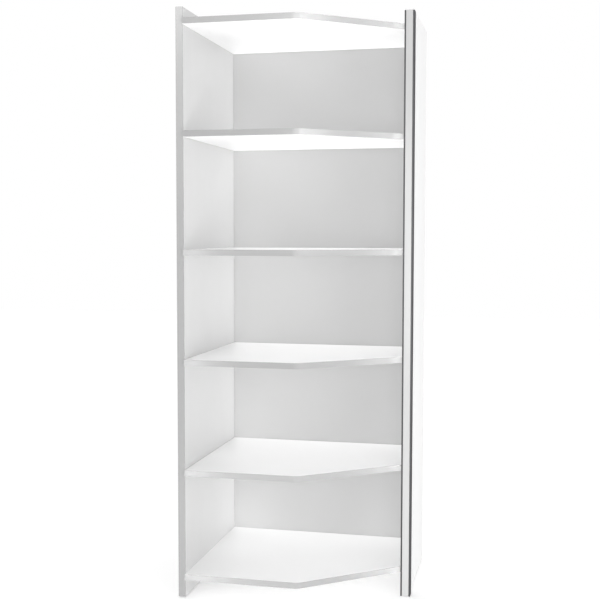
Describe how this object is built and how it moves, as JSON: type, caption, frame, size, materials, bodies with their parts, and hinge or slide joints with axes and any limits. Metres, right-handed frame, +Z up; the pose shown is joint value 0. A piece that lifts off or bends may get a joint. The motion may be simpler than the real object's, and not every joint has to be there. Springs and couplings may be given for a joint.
{
  "type": "shelving unit",
  "caption": "Tall white open end shelving unit with side panels of unequal depth, a full-height back panel and shelves whose front edge turns diagonally to the shallower side.",
  "frame": {"origin": "on the floor, under the middle of the overall outline", "axes": "+Z up along the height; +Y from the open front to the back panel and the wall; +X from the deep left side panel to the shallower right side panel"},
  "size_m": [0.763, 0.606, 1.97],
  "materials": {
    "white_board": "white melamine-faced chipboard, fine satin texture",
    "white_edge_foil": "white melamine edge foil, fine satin texture",
    "grey_edge_band": "light grey ABS edge band, satin",
    "white_back_board": "white lacquered thin hardboard, matt",
    "dark_profile": "dark anodised, satin",
    "pale_strip": "light grey semi-gloss strip",
    "zinc_steel": "bright zinc-plated",
    "support_steel": "nickel-plated round wire",
    "die_cast": "dull grey die-cast metal",
    "beech": "fluted beech, raw",
    "white_plastic": "white moulded plastic, satin"
  },
  "bodies": {
    "carcass": {"back_panel": "white_back_board", "back_panel_screws": "zinc_steel", "bottom_shelf": "white_board", "bottom_shelf_edge_band": "grey_edge_band", "cam_bolts": "zinc_steel", "cam_cover_caps": "white_plastic", "cams": "die_cast", "dowels": "beech", "floor_glides": "white_plastic", "left_panel_front_band": "grey_edge_band", "left_panel_top_band": "white_edge_foil", "left_side_panel": "white_board", "right_edge_insert": "pale_strip", "right_edge_profile": "dark_profile", "right_edge_screws": "zinc_steel", "right_panel_top_band": "white_edge_foil", "right_side_panel": "white_board", "shelf_2_left_wire": "support_steel", "shelf_2_right_wire": "support_steel", "shelf_3": "white_board", "shelf_3_edge_band": "grey_edge_band", "shelf_4_left_wire": "support_steel", "shelf_4_right_wire": "support_steel", "shelf_5_left_wire": "support_steel", "shelf_5_right_wire": "support_steel", "top_shelf": "white_board", "top_shelf_edge_band": "grey_edge_band", "wall_bracket_screws": "zinc_steel", "wall_brackets": "zinc_steel"},
    "loose_shelf_2": {"shelf_2": "white_board", "shelf_2_edge_band": "grey_edge_band"},
    "loose_shelf_4": {"shelf_4": "white_board", "shelf_4_edge_band": "grey_edge_band"},
    "loose_shelf_5": {"shelf_5": "white_board", "shelf_5_edge_band": "grey_edge_band"}
  },
  "joints": [
    {"name": "shelf_2_pull_out", "type": "slide", "parent": "carcass", "child": "loose_shelf_2", "axis": [0, -1, 0], "range_m": [0, 0.6]},
    {"name": "shelf_4_pull_out", "type": "slide", "parent": "carcass", "child": "loose_shelf_4", "axis": [0, -1, 0], "range_m": [0, 0.6]},
    {"name": "shelf_5_pull_out", "type": "slide", "parent": "carcass", "child": "loose_shelf_5", "axis": [0, -1, 0], "range_m": [0, 0.6]}
  ]
}
